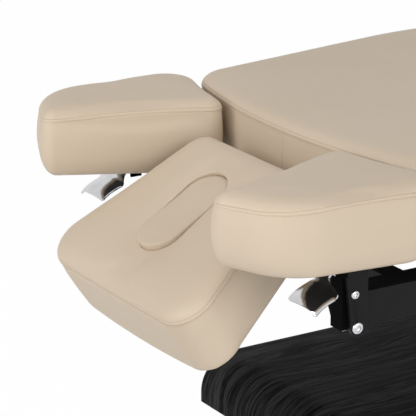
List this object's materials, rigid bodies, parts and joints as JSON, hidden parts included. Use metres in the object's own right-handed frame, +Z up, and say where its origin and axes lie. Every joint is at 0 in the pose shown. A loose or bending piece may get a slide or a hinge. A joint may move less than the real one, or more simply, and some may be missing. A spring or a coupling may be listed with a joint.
{
  "type": "spa treatment bed",
  "caption": "Electric spa treatment bed: long padded top with rounded shoulders, tilting headrest with face plug, raised armrests with paddle levers, lift columns on a wood plinth.",
  "frame": {"origin": "on the floor, under the middle of the bed's overall length and width", "axes": "+X from the head end to the foot end, +Y to the bed's left side, +Z up"},
  "size_m": [2.1618, 0.822, 0.603],
  "materials": {
    "vinyl": "satin",
    "plywood": "matte",
    "stained_oak": "satin",
    "black_steel": "satin",
    "black_column": "satin",
    "chrome": "polished",
    "bright_steel": "satin",
    "black_plastic": "matte",
    "rubber": "matte"
  },
  "bodies": {
    "base": {"plinth_top": "stained_oak", "plinth_nose_head": "stained_oak", "plinth_nose_foot": "stained_oak", "plinth_side_left": "stained_oak", "plinth_side_right": "stained_oak", "base_rail_left": "black_steel", "base_rail_right": "black_steel", "column_base_plates": "black_steel", "foot_pads": "rubber", "foot_stems": "bright_steel", "column_outer_head": "black_column", "column_outer_foot": "black_column", "outer_glides": "black_plastic", "lift_motors": "black_plastic", "lift_cylinders": "black_plastic", "control_box": "black_plastic", "mains_inlet": "black_plastic"},
    "column_middle": {"column_middle_head": "black_column", "column_middle_foot": "black_column", "middle_glides": "black_plastic"},
    "chassis": {"column_inner_head": "black_column", "column_inner_foot": "black_column", "column_top_plates": "black_steel", "lift_rods": "bright_steel", "chassis_rail_left": "black_steel", "chassis_rail_right": "black_steel", "rail_end_caps": "black_plastic", "armrest_guide_left": "black_steel", "armrest_guide_right": "black_steel", "chassis_crossmembers": "black_steel", "deck_bearers": "black_steel", "deck_board": "plywood", "table_pad": "vinyl", "deck_screws": "bright_steel", "headrest_hinge_pin": "bright_steel", "headrest_hinge_ears": "black_steel", "headrest_hinge_nuts": "bright_steel"},
    "headrest": {"headrest_board": "plywood", "headrest_pad": "vinyl", "headrest_hinge_arms": "black_steel", "headrest_washers": "black_plastic", "headrest_screws": "bright_steel"},
    "face_plug": {"face_plug_cushion": "vinyl", "face_plug_board": "plywood"},
    "armrest_left": {"armrest_pad_left": "vinyl", "armrest_board_left": "plywood", "armrest_slide_plate_left": "black_steel", "armrest_clamp_bar_left": "bright_steel", "armrest_bolts_left": "bright_steel", "lever_bracket_left": "black_steel", "lever_pin_left": "bright_steel"},
    "armrest_right": {"armrest_pad_right": "vinyl", "armrest_board_right": "plywood", "armrest_slide_plate_right": "black_steel", "armrest_clamp_bar_right": "bright_steel", "armrest_bolts_right": "bright_steel", "lever_bracket_right": "black_steel", "lever_pin_right": "bright_steel"},
    "lever_left": {"paddle_lever_left": "chrome"},
    "lever_right": {"paddle_lever_right": "chrome"}
  },
  "joints": [
    {"name": "lift", "type": "slide", "parent": "base", "child": "chassis", "axis": [0, 0, 1], "range_m": [0, 0.25]},
    {"name": "column_middle_lift", "type": "slide", "parent": "base", "child": "column_middle", "axis": [0, 0, 1], "range_m": [0, 0.125]},
    {"name": "headrest_tilt", "type": "hinge", "parent": "chassis", "child": "headrest", "pos_m": [-0.761, 0, 0.488], "axis": [0, 1, 0], "range_deg": [-20, 35]},
    {"name": "face_plug_lift", "type": "slide", "parent": "headrest", "child": "face_plug", "axis": [-0.5736, 0, 0.8192], "range_m": [0, 0.13]},
    {"name": "armrest_slide_left", "type": "slide", "parent": "chassis", "child": "armrest_left", "axis": [0, 0, 1], "range_m": [0, 0.05]},
    {"name": "lever_left", "type": "hinge", "parent": "armrest_left", "child": "lever_left", "pos_m": [-0.864, 0.305, 0.459], "axis": [0, 1, 0], "range_deg": [0, 15], "stiffness_Nm_per_rad": 1, "springref_deg": -17.19},
    {"name": "armrest_slide_right", "type": "slide", "parent": "chassis", "child": "armrest_right", "axis": [0, 0, 1], "range_m": [0, 0.05]},
    {"name": "lever_right", "type": "hinge", "parent": "armrest_right", "child": "lever_right", "pos_m": [-0.864, -0.305, 0.459], "axis": [0, 1, 0], "range_deg": [0, 15], "stiffness_Nm_per_rad": 1, "springref_deg": -17.19}
  ],
  "couplings": [
    {"joint": "column_middle_lift", "follows": "lift", "ratio": 0.5}
  ]
}
